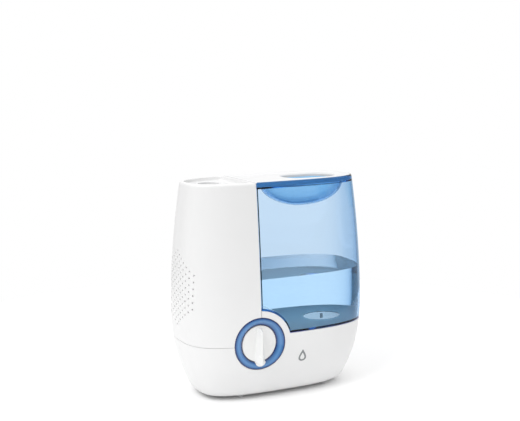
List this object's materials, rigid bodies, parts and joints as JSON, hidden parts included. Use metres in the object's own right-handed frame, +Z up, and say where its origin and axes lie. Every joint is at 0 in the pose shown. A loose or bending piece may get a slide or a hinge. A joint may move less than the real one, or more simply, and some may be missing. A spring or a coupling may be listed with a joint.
{
  "type": "cool mist humidifier",
  "caption": "Free-standing cool mist humidifier: white base and mist tower, blue lift-off water tank and a front dial.",
  "frame": {"origin": "under the middle of the whole object, on the surface it stands on", "axes": "+Z up, -Y is the front with the dial, +X is the tank's end"},
  "size_m": [0.282, 0.1553, 0.3092],
  "materials": {
    "shell_white": "satin moulded",
    "knob_white": "satin moulded",
    "inner_plastic": "matte moulded",
    "cover_plastic": "matte moulded",
    "foot_rubber": "matte",
    "seal_rubber": "matte",
    "screw_steel": "zinc plated",
    "dark_plastic": "matte moulded",
    "grey_plastic": "matte moulded",
    "copper_winding": "enamelled wire",
    "disc_steel": "polished",
    "circuit_board": "solder mask",
    "sink_aluminium": "extruded",
    "ring_blue": "translucent gloss",
    "led_lens": "clear",
    "float_foam": "foamed",
    "tank_blue": "clear tinted",
    "wire_jacket": "satin"
  },
  "bodies": {
    "housing": {"base_shell": "shell_white", "bottom_plate": "shell_white", "rubber_feet": "foot_rubber", "housing_screws": "screw_steel", "basin": "inner_plastic", "tower_housing": "shell_white", "mist_chimney": "inner_plastic", "air_duct": "inner_plastic", "fan_frame": "dark_plastic", "fan_motor": "copper_winding", "fan_screws": "screw_steel", "transducer_disc": "disc_steel", "transducer_seal": "seal_rubber", "transducer_clamp": "screw_steel", "transducer_screws": "screw_steel", "driver_board": "circuit_board", "heat_sink": "sink_aluminium", "power_board": "circuit_board", "transformer": "copper_winding", "board_screws": "screw_steel", "control_board": "circuit_board", "potentiometer": "grey_plastic", "potentiometer_nut": "screw_steel", "dial_ring": "ring_blue", "ring_lights": "led_lens", "float_guide": "inner_plastic", "valve_pin": "inner_plastic", "cord_gland": "seal_rubber", "wiring": "wire_jacket"},
    "outlet_cover": {"outlet_cover": "cover_plastic"},
    "impeller": {"fan_impeller": "grey_plastic"},
    "knob": {"control_knob": "knob_white", "dial_shaft": "screw_steel"},
    "float": {"float": "float_foam"},
    "tank": {"tank_body": "tank_blue", "tank_lid": "shell_white"},
    "cap": {"tank_cap": "inner_plastic", "cap_seal": "inner_plastic", "valve_spring": "screw_steel"},
    "plunger": {"valve_plunger": "inner_plastic"}
  },
  "joints": [
    {"name": "tank_lift", "type": "slide", "parent": "housing", "child": "tank", "axis": [0, 0, 1], "range_m": [0, 0.25]},
    {"name": "knob_turn", "type": "hinge", "parent": "housing", "child": "knob", "pos_m": [-0.046, -0.05725, 0.086], "axis": [0, 1, 0], "range_deg": [0, 300]},
    {"name": "cover_lift", "type": "slide", "parent": "housing", "child": "outlet_cover", "axis": [0, 0, 1], "range_m": [0, 0.1]},
    {"name": "fan_spin", "type": "hinge", "parent": "housing", "child": "impeller", "pos_m": [-0.124, 0.00275, 0.15], "axis": [1, 0, 0], "continuous": true},
    {"name": "float_rise", "type": "slide", "parent": "housing", "child": "float", "axis": [0, 0, 1], "range_m": [0, 0.014]},
    {"name": "cap_turn", "type": "hinge", "parent": "tank", "child": "cap", "pos_m": [0.076, -0.00325, 0.085], "axis": [0, 0, 1], "range_deg": [0, 120]},
    {"name": "valve_slide", "type": "slide", "parent": "cap", "child": "plunger", "axis": [0, 0, 1], "range_m": [-0.004, 0], "deforming": ["valve_spring"]}
  ],
  "couplings": [
    {"joint": "valve_slide", "follows": "tank_lift", "ratio": -0.016}
  ]
}
